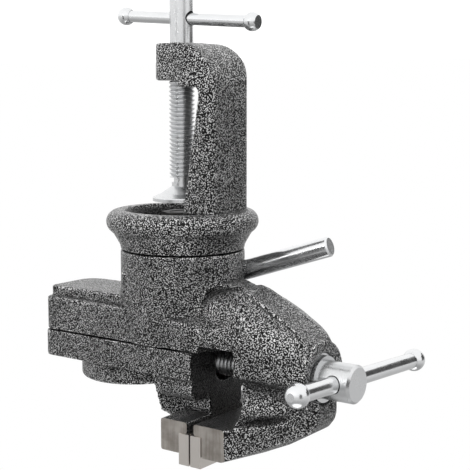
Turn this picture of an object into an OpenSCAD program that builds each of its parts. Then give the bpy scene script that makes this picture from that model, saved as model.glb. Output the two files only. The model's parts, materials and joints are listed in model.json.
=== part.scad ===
// Clamp-on swivel bench vise: a C-frame base that grips a bench edge, a swivelling head with a fixed front jaw,
// and a rear jaw with an anvil that slides along the head. Millimetres, +Z up, -Y towards the spindle handle.
// The origin is on the swivel axis, in the plane where the base sits on the bench.

/* [Base and bench clamp] */
// Outer radius of the rolled bead round the seat
seat_r = 36; // [34:0.5:40]
// Radius of the bead's own roll
bead_r = 5.5; // [4.5:0.5:6]
// Radius of the hollow under the seat
hollow_r = 27; // [25:0.5:28]
// Depth of the hollow under the seat
hollow_h = 10.5; // [10:0.25:11]
// Radius of the neck just above the bead
neck_low_r = 32.6; // [31:0.1:34]
// Radius of the neck and of the drum at the swivel seam
neck_top_r = 29.4; // [28.5:0.1:30.5]
// Height of the swivel seam above the seat
seam_z = 18.6; // [16:0.2:21]
// Width of the clamp column across the jaws' direction
column_w = 30; // [26:1:34]
// Distance of the column's outer face from the swivel axis
column_y = 28.5; // [27:0.1:30]
// Distance of the column's inner face from the axis at the seat
column_in_y = 12; // [11.6:0.2:14]
// Thickness of the column just above the arm
column_low_t = 7.6; // [6:0.2:10]
// Height of the arm's upper face below the seat
arm_top = 60; // [50:1:75]
// Thickness of the arm
arm_t = 17; // [14:1:20]
// Radius of the frame's outer corner
corner_r = 20; // [12:1:24]
// Radius of the round boss that holds the clamp screw
boss_r = 12; // [10.5:0.5:14]
// Rounding of the column's outer edges
column_edge_r = 4; // [2:0.5:6]

/* [Clamp screw] */
// Radius over the clamp thread
clamp_r = 6; // [5:0.25:7]
// Pitch of the clamp thread
clamp_pitch = 2; // [1.5:0.25:2.5]
// Radius of the clamp screw's head
clamp_head_r = 5.6; // [5:0.1:6.5]
// Length of the clamp screw's head below the arm
clamp_head_l = 22.4; // [16:0.2:26]
// Radius of the clamp pad
pad_r = 14; // [11:0.5:18]
// Height of the clamp pad
pad_h = 8.6; // [8:0.2:12]
// Gap between the pad and the seat plane as it stands
pad_gap = 4; // [3.5:0.5:8]
// Radius of the clamp screw's cross bar
clamp_bar_r = 2.8; // [2.2:0.1:3.2]
// Length of that bar between its end knobs
clamp_bar_l = 70.2; // [52:0.2:80]
// How far that bar stands off centre towards the column
clamp_bar_shift = 3.3; // [0:0.1:10]
// Turn of that bar from the column's plane, in degrees
clamp_bar_turn = 4; // [0:1:30]
// Tilt of that bar in its loose hole, in degrees
clamp_bar_tilt = 3.8; // [0:0.2:4]

/* [Vise head] */
// Half the width of the head and of the slide
head_half_w = 27.5; // [25.5:0.25:28.5]
// Height of the sliding seam above the seat
slide_z = 61; // [59:0.5:63]
// Height of the waist behind the drum where it starts
waist_z = 28; // [25:0.5:32]
// Distance of the waist's rear face from the axis
waist_y = 16; // [13:0.5:19]
// Distance of the head's rear end from the axis
rear_y = 65.2; // [60:0.2:70]
// Height of the underside of the rear block
rear_block_z = 44.6; // [43:0.2:45.6]
// Height of the underside of the round-ended pad below the rear block
rear_pad_z = 39.3; // [37:0.2:42]
// Inset of that pad from the rear block's side and end
rear_pad_inset = 2; // [1:0.5:4]
// Width of that pad, which stands towards +X
rear_pad_w = 29.5; // [24:0.5:34]
// Height of the low walls beside the spindle slot
wall_z = 57.5; // [54.5:0.5:58.5]
// Distance of the slot's front wall from the axis
slot_front_y = 49; // [46:0.5:50]
// Distance of the step where the nose leaves the flat side
nose_start_y = 57.5; // [55:0.5:60]
// Height of the upper edge of the nose's side walls
nose_wall_z = 69; // [66:0.5:72]
// Distance of the spindle's seat in its boss from the axis
boss_front_y = 76; // [74:0.5:78]
// Radius of the spindle boss
spindle_boss_r = 17; // [15.5:0.5:18]
// Half the width of the nose's keel
nose_half_w = 9; // [7:0.5:12]

/* [Jaws] */
// How far the jaws reach past the drum on each side
jaw_over = 0.6; // [0.4:0.1:3]
// Height of the jaw castings' lower edge
jaw_low_z = 92.5; // [90:0.5:95]
// Height of the jaw castings' upper edge
jaw_top_z = 107.3; // [104:0.1:110]
// Thickness of each jaw casting at its ground ends
jaw_t = 15; // [13:0.5:18]
// Place of the line where the jaws meet, in front of the axis
jaw_y = 27.5; // [26.5:0.25:28.5]
// Gap between the jaw plates as it stands
jaw_gap = 0.9; // [0.5:0.1:3]
// Thickness of a jaw plate
plate_t = 5.7; // [4.5:0.1:7]
// Height of a jaw plate
plate_h = 14.5; // [11:0.5:17]
// How far the plates stand above the castings
plate_rise = 5; // [2:0.5:6]
// How far each plate stands proud of the casting's lip
plate_proud = 1.5; // [1:0.1:2.5]
// Half the width of the front jaw's neck
neck_half_w = 20.5; // [19:0.5:23]
// Half the width of the rear jaw's neck behind its plate
rear_neck_half_w = 12; // [11:0.5:15]
// Distance between a plate's two screws
plate_screw_gap = 34; // [24:1:44]
// Radius of a plate screw's shank
plate_screw_r = 2.5; // [2:0.25:3]
// Length of a plate screw
plate_screw_l = 12; // [10:0.5:14]

/* [Slide and anvil] */
// Thickness of the slide
slide_t = 13; // [11:0.5:14]
// Radius of the round anvil
anvil_r = 27; // [23:0.5:27]
// Distance of the anvil's centre behind the axis
anvil_y = 29.5; // [28:0.5:31]
// Height of the anvil above the slide
anvil_h = 9; // [8:0.5:11]
// Half the width of the slide's guide rib
rib_half_w = 11; // [9.5:0.5:12]
// Half the width of the guide rib's foot
foot_half_w = 16; // [14:0.5:18]
// Thickness of the guide rib's foot
foot_t = 4.5; // [4:0.25:5]

/* [Spindle] */
// Height of the spindle axis above the seat
spindle_z = 70.4; // [70:0.1:71]
// Radius over the spindle thread
spindle_r = 6; // [5:0.25:6.5]
// Pitch of the spindle thread
spindle_pitch = 2; // [1.5:0.5:3]
// Distance of the spindle's inner end behind the axis
spindle_end_y = 44; // [40:1:48]
// Radius of the spindle head
spindle_head_r = 8.6; // [8:0.1:9.2]
// Length of the spindle head
spindle_head_l = 16.2; // [14:0.1:20]
// Radius of the flange under the spindle head
flange_r = 10.4; // [9.5:0.1:11]
// Thickness of the flange under the spindle head
flange_t = 2.2; // [2:0.2:4]
// Radius of the spindle's cross bar
bar_r = 3.8; // [3:0.1:4]
// Length of that bar between its end knobs
bar_l = 104; // [80:1:120]
// How far that bar stands off centre, away from +X
bar_shift = 16.2; // [0:0.1:24]
// Turn of that bar about the spindle, in degrees
bar_turn = 3; // [0:0.2:20]

/* [Swivel lock] */
// Radius of the lock rod
lock_r = 4.75; // [4:0.05:5]
// Length of the lock rod that shows outside the drum
lock_out_l = 45.6; // [40:0.2:56]
// Distance of the lock rod's line from the swivel axis
lock_offset = 11.5; // [11:0.25:12.5]
// Turn of the lock rod from the front, in degrees
lock_turn = 10; // [4:1:14]
// Downward slope of the lock rod, in degrees
lock_slope = 18; // [12:1:20]
// Height where the lock rod's line is nearest the swivel axis
lock_z = 37.9; // [37:0.1:38]
// Radius of the swivel bolt's shoulder
bolt_r = 8; // [7:0.25:8.5]

/* [Fits] */
// Gap between faces that slide or turn on each other
face_gap = 0.2; // [0.15:0.05:0.3]
// Radial gap of a turning fit
turn_fit = 0.06; // [0.04:0.01:0.1]
// Radial gap of a cross bar in its loose hole
bar_fit = 0.55; // [0.5:0.05:0.7]

/* [Hidden] */
$fn = 96;
cut = 1;
paint = "#3b3d40";
bright = "#c9ccd0";
ground = "#8d8782";
bronze = "#9a7b45";

// Base levels
bead_h = 2 * bead_r;
arm_low = arm_top + arm_t;
arm_fillet_r = 7;
web_in_y = column_y - column_low_t;
pad_room = 1.5;
clamp_pin_r = clamp_r - 2;
pad_roof = 3;
// Half section of the clamp pad, as radius and height above its lower end
pad_outline = [[0, 0], [clamp_pin_r + 1, 0], [clamp_pin_r + 1, 0.2 * pad_h], [pad_r - 4, 0.6 * pad_h],
    [pad_r - 0.4, 0.78 * pad_h], [pad_r, 0.84 * pad_h], [pad_r, pad_h], [0, pad_h]];
// Swivel bolt and its fasteners
bolt_thread_r = 6;
bolt_head_r = 11;
bolt_head_h = 4.9;
washer_t = 1.5;
base_nut_r = 10.2;
base_nut_h = 6.3;
drum_floor_z = 42;
bolt_pocket_r = bolt_head_r + 2;
bolt_seat_z = drum_floor_z + washer_t + face_gap;
drum_z = seam_z + face_gap;
// Slide, rib and guide levels
slide_low = slide_z + face_gap;
slide_top = slide_low + slide_t;
rib_gap = 0.3;
rail_front_y = 29.6;
waist_edge_r = 3;
foot_top = 54;
foot_low = foot_top - foot_t;
// Jaw faces, plates and screws
jaw_half_w = neck_top_r + jaw_over;
front_plate_y = -jaw_y - jaw_gap / 2;
rear_plate_y = -jaw_y + jaw_gap / 2;
front_lip_y = front_plate_y - plate_proud;
rear_lip_y = rear_plate_y + plate_proud;
plate_top = jaw_top_z + plate_rise;
plate_low = plate_top - plate_h;
plate_half_w = jaw_half_w + 0.5;
plate_seat_gap = 0.05;
front_end_y = front_lip_y - jaw_t;
rear_end_y = rear_lip_y + jaw_t;
slide_front_y = rear_lip_y - 0.4;
screw_head_r = 1.9 * plate_screw_r;
screw_head_h = 2.6;
plate_screw_z = (plate_low + jaw_top_z) / 2;
// The front jaw's prow stops short of the spindle bar's sweep and clears the flange
prow_half_w = 8;
flare_r = 13;
prow_y = -boss_front_y - 5.2;
prow_low_z = spindle_z + flange_r - 3;
neck_front_y = -boss_front_y + 2;
neck_low_z = nose_wall_z - 4;
crown_z = jaw_top_z - 0.4;
// Side view of the front jaw's prow, as Y and Z: its crown falls in steps, given as shares of its length and height
prow_l = front_end_y - prow_y;
prow_h = crown_z - prow_low_z;
prow_neck_l = 16;
prow_neck_h = 5;
prow_outline = [[front_end_y, jaw_low_z], [front_end_y, crown_z],
    for (step = [[0.22, 0], [0.6, 0.22], [0.89, 0.44], [0.97, 0.57], [1, 0.69], [1, 1]])
    [front_end_y - step[0] * prow_l, crown_z - step[1] * prow_h],
    [neck_front_y, prow_low_z], [front_end_y - prow_neck_l, jaw_low_z - prow_neck_h]];
// Side view of the nose's keel, as Y and Z: it falls from the drum to the spindle boss
keel_back_y = -20;
keel_l = boss_front_y + keel_back_y;
keel_h = spindle_z - spindle_boss_r - waist_z - 4;
keel_outline = [[keel_back_y, waist_z + 4], for (step = [[0.23, 0], [0.41, 0.1], [0.6, 0.36], [0.78, 0.7], [0.93, 0.95]])
    [keel_back_y - step[0] * keel_l, waist_z + 4 + step[1] * keel_h],
    [-boss_front_y, spindle_z - spindle_boss_r], [keel_back_y, slide_z - 4]];
// The nose's side swells from its keel up to the low walls
wall_h = 10;
wall_low_z = wall_z - wall_h;
wall_corner_r = 10;
wall_set_back = 3;
swell_low_half_w = nose_half_w + 5;
swell_low_z = waist_z + 10;
swell_half_w = nose_half_w + 11;
swell_y = -42;
boss_root = 6;
boss_rim = 3;
prow_room = 1.2;
rail_edge_r = 4;
rear_pad_near_r = 3;
rear_pad_far_r = 9;
slot_start_y = -slot_front_y + 4;
pocket_room = 20;
// Slide and rear jaw details
slide_rear_over = 0.8;
anvil_edge = 1;
// Side view of the rear jaw's neck, as Y and Z: its back leans in from the slide up to the jaw
rear_neck_y = 0.5;
gusset_rise = 9;
rear_neck_outline = [[rear_lip_y, slide_top - cut], [rear_neck_y, slide_top - cut], [rear_neck_y - 1, slide_top + 6],
    [rear_neck_y - 3.1, jaw_low_z], [rear_end_y - cut, jaw_low_z + gusset_rise], [rear_lip_y, jaw_low_z + gusset_rise]];
// The shoulder that carries the rear jaw's neck, and the neck's plan as X and Y: it spreads towards the back
shoulder_half_w = head_half_w - 1.5;
shoulder_h = 10.3;
shoulder_edge_r = 5.5;
shoulder_back_y = rear_neck_y - 5.5;
gusset_half_w = shoulder_half_w - 2;
rear_neck_plan = [[-rear_neck_half_w, rear_lip_y], [rear_neck_half_w, rear_lip_y], [rear_neck_half_w, rear_end_y],
    [gusset_half_w, rear_neck_y], [-gusset_half_w, rear_neck_y], [-rear_neck_half_w, rear_end_y]];
hump_half_w = rear_neck_half_w;
hump_end_y = 5;
rib_rear_y = rear_y - 1;
nut_pin_gap = 0.7;
bore_over = 4;
// Spindle stations along Y
thrust_washer_t = 1.4;
flange_y = -boss_front_y - thrust_washer_t - 2 * face_gap;
head_y = flange_y - flange_t;
spindle_front_y = head_y - spindle_head_l;
bar_y = head_y - spindle_head_l / 2;
collar_washer_y = -slot_front_y + face_gap;
clip_y = collar_washer_y + thrust_washer_t + face_gap;
clip_t = 1;
clip_r = 8.6;
groove_r = spindle_r - 1.2;
nut_r = 8.6;
nut_l = 16;
nut_inset = 8;
nut_front_y = slide_front_y + nut_inset;
spindle_bore_r = spindle_r + 0.7;
nut_pin_r = 2;
// Knobs on the bars
bar_knob_r = 1.42 * bar_r;
bar_knob_flat = 0.06;
clamp_knob_r = 1.55 * clamp_bar_r;
clamp_knob_flat = 0.29;
knob_neck_flat = 0.29;
knob_seat_gap = 0.01;
// Lock rod
cotter_start = 2.2;
cotter_end = 9.8;
cotter_flat_gap = 0.35;
lock_bore_start = cotter_start - 0.3;
rod_edge = 0.8;

// A ring-grooved thread outline from z0 upwards, for rotate_extrude
module thread_profile(r, pitch, z0, count) {
    depth = 0.45 * pitch;
    points = [for (i = [0 : count - 1]) each [[r, z0 + pitch * (i + 0.1)], [r - depth, z0 + pitch * (i + 0.5)],
        [r, z0 + pitch * (i + 0.9)]]];
    polygon(concat([[0, z0], [r, z0]], points, [[r, z0 + pitch * count], [0, z0 + pitch * count]]));
}

// A 2D outline drawn in Y and Z, extruded evenly to both sides of X = 0
module across(half_w) {
    rotate([90, 0, 90]) translate([0, 0, -half_w]) linear_extrude(2 * half_w) children();
}

// A cylinder along Y from y0 to y1 at height z
module along_y(r, y0, y1, z) {
    translate([0, y1, z]) rotate([90, 0, 0]) cylinder(r = r, h = y1 - y0);
}

// A box from its two Y and Z limits, even about X = 0
module slab(half_w, y0, y1, z0, z1) {
    translate([-half_w, y0, z0]) cube([2 * half_w, y1 - y0, z1 - z0]);
}

// A box whose two upright edges at its end in +Y are rounded
module tail_slab(half_w, y0, y1, z0, z1, r) {
    slab(half_w, y0, y1 - r, z0, z1);
    slab(half_w - r, y1 - r - cut, y1, z0, z1);
    for (side = [-1, 1]) translate([side * (half_w - r), y1 - r, z0]) cylinder(r = r, h = z1 - z0);
}

// A ball end with a flat on each side, on a bar that lies along X; the bar enters from the -X side
module knob(r, hole_r, end_flat) {
    neck_l = r * (1 - knob_neck_flat);
    end_l = r * (1 - end_flat);
    rotate([0, 90, 0]) rotate_extrude() difference() {
        intersection() {
            circle(r = r);
            translate([0, -neck_l]) square([r, neck_l + end_l]);
        }
        translate([-cut, -r]) square([cut + hole_r + knob_seat_gap, r]);
    }
}

module seat_profile() {
    translate([seat_r - bead_r, bead_r]) circle(r = bead_r);
    translate([hollow_r, 0]) square([seat_r - bead_r - hollow_r, bead_h]);
    polygon([[0, hollow_h], [neck_low_r, hollow_h], [neck_low_r, bead_h], [neck_top_r, seam_z - 2],
        [neck_top_r, seam_z], [0, seam_z]]);
}

module frame_side() {
    polygon([[-column_y, hollow_h + cut / 2], [-column_in_y, hollow_h + cut / 2], [-column_in_y, 0],
        [-web_in_y, -arm_top + arm_fillet_r], [-web_in_y, -arm_top], [0, -arm_top], [0, -arm_low],
        [-column_y + corner_r, -arm_low], [-column_y, -arm_low + corner_r]]);
    intersection() {
        translate([-column_y, -arm_low]) square(corner_r);
        translate([-column_y + corner_r, -arm_low + corner_r]) circle(r = corner_r);
    }
    translate([-web_in_y, -arm_top]) difference() {
        square(arm_fillet_r);
        translate([arm_fillet_r, arm_fillet_r]) circle(r = arm_fillet_r);
    }
}

module frame_plan() {
    edge_y = -column_y + column_edge_r;
    polygon([[-column_w / 2, edge_y], [column_w / 2, edge_y], [column_w / 2, -column_in_y], [boss_r, 0],
        [-boss_r, 0], [-column_w / 2, -column_in_y]]);
    for (side = [-1, 1]) translate([side * (column_w / 2 - column_edge_r), edge_y]) circle(r = column_edge_r);
    translate([-column_w / 2 + column_edge_r, -column_y]) square([column_w - 2 * column_edge_r, column_edge_r + cut]);
    circle(r = boss_r);
}

module clamp_frame() {
    color(paint) difference() {
        union() {
            rotate_extrude() seat_profile();
            intersection() {
                across(column_w) frame_side();
                translate([0, 0, -arm_low - cut]) linear_extrude(arm_low + seam_z) frame_plan();
            }
            translate([0, 0, -arm_low]) cylinder(r = boss_r, h = arm_t);
        }
        translate([0, 0, hollow_h - cut]) cylinder(r = bolt_thread_r + turn_fit, h = seam_z);
        translate([0, 0, -arm_low - cut]) cylinder(r = clamp_r + turn_fit, h = arm_t + 2 * cut);
        // Room for the pad in front of the column
        translate([0, 0, -arm_top]) cylinder(r = pad_r + pad_room, h = arm_top);
    }
}

module swivel_bolt() {
    color(bright) {
        translate([0, 0, washer_t]) cylinder(r = bolt_thread_r, h = seam_z - washer_t);
        translate([0, 0, seam_z]) cylinder(r = bolt_r, h = bolt_seat_z - seam_z);
        translate([0, 0, bolt_seat_z]) cylinder(r = bolt_head_r, h = bolt_head_h, $fn = 6);
    }
}

module washer(z, outer_r, inner_r, t) {
    translate([0, 0, z]) difference() {
        cylinder(r = outer_r, h = t);
        translate([0, 0, -cut]) cylinder(r = inner_r, h = t + 2 * cut);
    }
}

module base_washer() {
    color(bright) washer(hollow_h - washer_t, base_nut_r + 0.8, bolt_thread_r + turn_fit, washer_t);
}

module base_spring_washer() {
    color(bright) difference() {
        washer(hollow_h - 2 * washer_t, base_nut_r - 0.6, bolt_thread_r + turn_fit, washer_t);
        translate([0, -0.5, hollow_h - 2 * washer_t - cut]) cube([base_nut_r, 1, washer_t + 2 * cut]);
    }
}

module base_nut() {
    color(bright) difference() {
        translate([0, 0, hollow_h - 2 * washer_t - base_nut_h]) cylinder(r = base_nut_r, h = base_nut_h, $fn = 6);
        cylinder(r = bolt_thread_r + turn_fit, h = seam_z);
    }
}

module swivel_washer() {
    color(bright) washer(drum_floor_z, bolt_head_r + 0.8, bolt_r + 2 * turn_fit, washer_t);
}

// Side view of the flat walls beside the spindle slot, with a round lower front corner
module wall_side() {
    polygon([[-nose_start_y, nose_wall_z], [-nose_start_y, wall_low_z + wall_corner_r],
        [-nose_start_y + wall_corner_r, wall_low_z], [-rail_front_y + cut, wall_low_z], [-rail_front_y + cut, wall_z],
        [-slot_front_y, wall_z], [-slot_front_y, nose_wall_z]]);
    translate([-nose_start_y + wall_corner_r, wall_low_z + wall_corner_r]) circle(r = wall_corner_r);
}

// The prow under the spindle: a keel, the two side walls and the spindle boss, drawn into one smooth form
module nose() {
    hull($fn = 32) {
        across(nose_half_w) polygon(keel_outline);
        slab(head_half_w - cut, -nose_start_y + wall_set_back, -slot_front_y, wall_low_z + wall_set_back, nose_wall_z);
        slab(swell_low_half_w, swell_y, keel_back_y, swell_low_z, wall_low_z);
        slab(swell_half_w, swell_y, keel_back_y, wall_low_z, wall_z - cut);
        along_y(spindle_boss_r, -boss_front_y, -boss_front_y + boss_root, spindle_z, $fn = 48);
    }
}

// The front jaw: a thick head with a pointed plan that falls away to the spindle boss
module front_head() {
    hull($fn = 32) {
        slab(jaw_half_w, front_end_y, front_lip_y, jaw_low_z, jaw_top_z);
        across(prow_half_w) polygon(prow_outline);
    }
}

// The front jaw's neck seen along Y: straight sides that flare out in an arc under the jaw
module neck_profile() {
    low_z = neck_low_z;
    flare_w = jaw_half_w - neck_half_w;
    flare_h = sqrt(flare_r * flare_r - (flare_r - flare_w) * (flare_r - flare_w));
    difference() {
        translate([-jaw_half_w, low_z]) square([2 * jaw_half_w, jaw_low_z - low_z + cut]);
        for (side = [-1, 1]) {
            translate([side * (neck_half_w + flare_r), jaw_low_z - flare_h]) circle(r = flare_r);
            translate([side * (neck_half_w + flare_r) - flare_r, low_z - cut])
                square([2 * flare_r, jaw_low_z - flare_h - low_z + cut]);
        }
    }
}

// The front jaw's neck, trimmed to the plan of the head above it
module front_neck() {
    intersection() {
        translate([0, -slot_front_y, 0]) rotate([90, 0, 0]) linear_extrude(-slot_front_y - neck_front_y) neck_profile();
        translate([0, 0, neck_low_z - cut]) linear_extrude(jaw_top_z) polygon([[-jaw_half_w, front_end_y],
            [jaw_half_w, front_end_y], [prow_half_w, prow_y], [-prow_half_w, prow_y]]);
    }
}

// The rear jaw's shoulder seen along Y, with round upper edges
module shoulder_profile() {
    straight_h = shoulder_h - shoulder_edge_r;
    inner_half_w = shoulder_half_w - shoulder_edge_r;
    translate([-shoulder_half_w, slide_top - cut]) square([2 * shoulder_half_w, straight_h + cut]);
    translate([-inner_half_w, slide_top - cut]) square([2 * inner_half_w, shoulder_h + cut]);
    for (side = [-1, 1]) translate([side * inner_half_w, slide_top + straight_h]) circle(r = shoulder_edge_r);
}

// The rear jaw's shoulder and neck, with the back that leans in
module rear_neck() {
    intersection() {
        union() {
            translate([0, shoulder_back_y, 0]) rotate([90, 0, 0])
                linear_extrude(shoulder_back_y - rear_lip_y) shoulder_profile();
            translate([0, 0, slide_top - cut]) linear_extrude(jaw_low_z + gusset_rise - slide_top + cut)
                polygon(rear_neck_plan);
        }
        across(jaw_half_w) polygon(rear_neck_outline);
    }
}

// The space that a jaw plate and its two screws take in a casting; face is +1 where the plate faces +Y
module plate_pocket(face_y, face) {
    back_y = face_y - face * (plate_t + plate_seat_gap);
    translate([-plate_half_w - cut, min(back_y, back_y + face * pocket_room), plate_low - plate_seat_gap])
        cube([2 * (plate_half_w + cut), pocket_room, plate_h + pocket_room]);
    for (side = [-1, 1]) translate([side * plate_screw_gap / 2, face_y, plate_screw_z])
        rotate([face * 90, 0, 0]) cylinder(r = plate_screw_r, h = plate_screw_l + plate_seat_gap);
}

module jaw_plate(face_y, face) {
    difference() {
        translate([-plate_half_w, min(face_y, face_y - face * plate_t), plate_low])
            cube([2 * plate_half_w, plate_t, plate_h]);
        plate_screws(face_y, face);
    }
}

module plate_screws(face_y, face) {
    for (side = [-1, 1]) translate([side * plate_screw_gap / 2, face_y, plate_screw_z]) rotate([face * 90, 0, 0]) {
        cylinder(r = plate_screw_r, h = plate_screw_l);
        cylinder(r1 = screw_head_r, r2 = plate_screw_r, h = screw_head_h);
    }
}

// The lock rod's own frame: its axis along +Z, pointing outwards, with 0 nearest the swivel axis
module lock_frame() {
    rotate([0, 0, -lock_turn]) translate([-lock_offset, 0, lock_z]) rotate([90 + lock_slope, 0, 0]) children();
}

// The pad under the rear block: its far corner has the larger round
module rear_pad() {
    near_x = head_half_w - rear_pad_inset;
    far_x = near_x - rear_pad_w;
    end_y = rear_y - rear_pad_inset;
    translate([0, 0, rear_pad_z]) linear_extrude(slide_z - rear_pad_z) {
        polygon([[far_x, 0], [near_x, 0], [near_x, end_y - rear_pad_near_r], [near_x - rear_pad_near_r, end_y],
            [far_x + rear_pad_far_r, end_y], [far_x, end_y - rear_pad_far_r]]);
        translate([near_x - rear_pad_near_r, end_y - rear_pad_near_r]) circle(r = rear_pad_near_r);
        translate([far_x + rear_pad_far_r, end_y - rear_pad_far_r]) circle(r = rear_pad_far_r);
    }
}

module vise_body() {
    color(paint) difference() {
        union() {
            translate([0, 0, drum_z]) cylinder(r = neck_top_r, h = slide_z - drum_z);
            tail_slab(head_half_w, -rail_front_y, waist_y, wall_low_z, slide_z, waist_edge_r);
            tail_slab(head_half_w, 0, waist_y, waist_z, slide_z, waist_edge_r);
            tail_slab(head_half_w, 0, rear_y, rear_block_z, slide_z, rail_edge_r);
            rear_pad();
            across(head_half_w) wall_side();
            nose();
            front_head();
            front_neck();
            along_y(spindle_boss_r, -boss_front_y - boss_rim, -boss_front_y + boss_root, spindle_z);
        }
        // Slot between the nose and the slide
        slab(jaw_half_w + cut, -slot_front_y, -rail_front_y, wall_z, jaw_low_z);
        // Guide slot for the slide's rib and foot, open to the rear
        slab(rib_half_w + rib_gap, slot_start_y, rear_y + cut, foot_top - cut, slide_z + cut);
        slab(foot_half_w + rib_gap, slot_start_y, rear_y + cut, foot_low - rib_gap, foot_top + rib_gap);
        // Room for the spindle's flange under the prow
        along_y(flange_r + prow_room, prow_y - cut, -boss_front_y, spindle_z);
        // Bores for the spindle, the swivel bolt and the lock rod
        along_y(spindle_r + turn_fit, -boss_front_y - cut, 0, spindle_z);
        translate([0, 0, drum_z - cut]) cylinder(r = bolt_r + turn_fit, h = slide_z);
        translate([0, 0, drum_floor_z]) cylinder(r = bolt_pocket_r, h = foot_low - drum_floor_z + cut);
        lock_frame() translate([0, 0, lock_bore_start]) cylinder(r = lock_r + turn_fit, h = 2 * neck_top_r);
        plate_pocket(front_plate_y, 1);
    }
}

module front_jaw_plate() {
    color(bright) jaw_plate(front_plate_y, 1);
}

module front_jaw_screws() {
    color(bright) plate_screws(front_plate_y, 1);
}

module slide_jaw() {
    color(paint) difference() {
        union() {
            tail_slab(head_half_w, slide_front_y, rear_y + slide_rear_over, slide_low, slide_top, rail_edge_r);
            translate([0, anvil_y, slide_top - cut]) cylinder(r = anvil_r, h = anvil_h - anvil_edge + cut);
            translate([0, anvil_y, slide_top + anvil_h - anvil_edge])
                cylinder(r1 = anvil_r, r2 = anvil_r - anvil_edge, h = anvil_edge);
            rear_neck();
            slab(hump_half_w, rear_neck_y - cut, hump_end_y, slide_top - cut, spindle_z + spindle_bore_r + 2);
            slab(jaw_half_w, rear_lip_y, rear_end_y, jaw_low_z, jaw_top_z);
            // Guide rib with its foot
            slab(rib_half_w, slide_front_y, rib_rear_y, foot_top - cut, slide_low + cut);
            slab(foot_half_w, slide_front_y, rib_rear_y, foot_low, foot_top);
        }
        along_y(spindle_bore_r, slide_front_y - cut, spindle_end_y + bore_over, spindle_z);
        along_y(nut_r, slide_front_y - cut, nut_front_y + nut_l, spindle_z);
        translate([0, nut_front_y + nut_l / 2, foot_low - cut]) cylinder(r = nut_pin_r, h = spindle_z - foot_low);
        plate_pocket(rear_plate_y, -1);
    }
}

module rear_jaw_plate() {
    color(bright) jaw_plate(rear_plate_y, -1);
}

module rear_jaw_screws() {
    color(bright) plate_screws(rear_plate_y, -1);
}

module spindle_nut() {
    color(bronze) difference() {
        along_y(nut_r, nut_front_y, nut_front_y + nut_l, spindle_z);
        along_y(spindle_r + turn_fit, nut_front_y - cut, nut_front_y + nut_l + cut, spindle_z);
        nut_pin();
    }
}

module nut_pin() {
    color(bright) translate([0, nut_front_y + nut_l / 2, foot_low])
        cylinder(r = nut_pin_r, h = spindle_z - spindle_r - nut_pin_gap - foot_low);
}

// The spindle stands along +Z here, from its outer end, and is laid along Y
module spindle_frame() {
    translate([0, 0, spindle_z]) rotate([-90, 0, 0]) children();
}

module spindle() {
    turns = floor((spindle_end_y - clip_y - clip_t - 3) / spindle_pitch);
    thread_start = spindle_end_y - turns * spindle_pitch;
    color(bright) difference() {
        spindle_frame() union() {
            translate([0, 0, spindle_front_y]) rotate_extrude() spindle_head_profile();
            translate([0, 0, head_y]) cylinder(r = flange_r, h = flange_t);
            translate([0, 0, flange_y]) cylinder(r = spindle_r, h = clip_y - flange_y);
            translate([0, 0, clip_y]) cylinder(r = groove_r, h = clip_t + face_gap);
            translate([0, 0, clip_y + clip_t + face_gap])
                cylinder(r = spindle_r, h = thread_start - clip_y - clip_t - face_gap);
            rotate_extrude() thread_profile(spindle_r, spindle_pitch, thread_start, turns);
        }
        bar_frame() rotate([0, 90, 0]) cylinder(r = bar_r + bar_fit / 2, h = 4 * spindle_head_r, center = true);
    }
}

module spindle_head_profile() {
    edge = 1;
    polygon([[0, 0], [spindle_head_r - edge, 0], [spindle_head_r, edge], [spindle_head_r, spindle_head_l],
        [0, spindle_head_l]]);
}

module thrust_washer() {
    color(bright) spindle_frame() washer(flange_y + face_gap, flange_r + 1, spindle_r + 2 * turn_fit, thrust_washer_t);
}

module spindle_collar_washer() {
    color(bright) spindle_frame()
        washer(collar_washer_y, clip_r - 0.4, spindle_r + 2 * turn_fit, thrust_washer_t);
}

module spindle_clip() {
    color(bright) spindle_frame() difference() {
        washer(clip_y + face_gap / 2, clip_r, groove_r + 0.02, clip_t);
        translate([0, -groove_r * 0.8, clip_y - cut]) cube([clip_r + cut, 1.6 * groove_r, clip_t + 2 * cut]);
    }
}

// Frame of the spindle's bar: along X, through the spindle head, turned about the spindle
module bar_frame() {
    translate([0, bar_y, spindle_z]) rotate([0, bar_turn, 0]) children();
}

module bar(r, l) {
    rotate([0, 90, 0]) cylinder(r = r, h = l, center = true);
}

module bar_knobs(l, knob_r, hole_r, end_flat) {
    for (side = [0, 180]) rotate([0, 0, side]) translate([l / 2, 0, 0]) knob(knob_r, hole_r, end_flat);
}

module spindle_bar() {
    color(bright) bar_frame() translate([-bar_shift, 0, 0]) bar(bar_r, bar_l);
}

module spindle_bar_knobs() {
    color(bright) bar_frame() translate([-bar_shift, 0, 0]) bar_knobs(bar_l, bar_knob_r, bar_r, bar_knob_flat);
}

module clamp_screw() {
    turns = floor((arm_low - pad_gap - pad_h - 2) / clamp_pitch);
    color(bright) difference() {
        union() {
            translate([0, 0, -arm_low - face_gap - clamp_head_l])
                rotate_extrude() polygon([[0, 0], [clamp_head_r - 1, 0], [clamp_head_r, 1],
                    [clamp_head_r, clamp_head_l], [0, clamp_head_l]]);
            translate([0, 0, -arm_low - face_gap]) cylinder(r = clamp_r, h = face_gap + cut);
            rotate_extrude() thread_profile(clamp_r, clamp_pitch, -arm_low, turns);
            translate([0, 0, -arm_low + turns * clamp_pitch - cut])
                cylinder(r = clamp_pin_r, h = arm_low - turns * clamp_pitch - pad_gap - pad_roof + cut);
        }
        clamp_bar_frame(0) rotate([0, 90, 0])
            cylinder(r = clamp_bar_r + bar_fit, h = 4 * clamp_head_r, center = true);
    }
}

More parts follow.
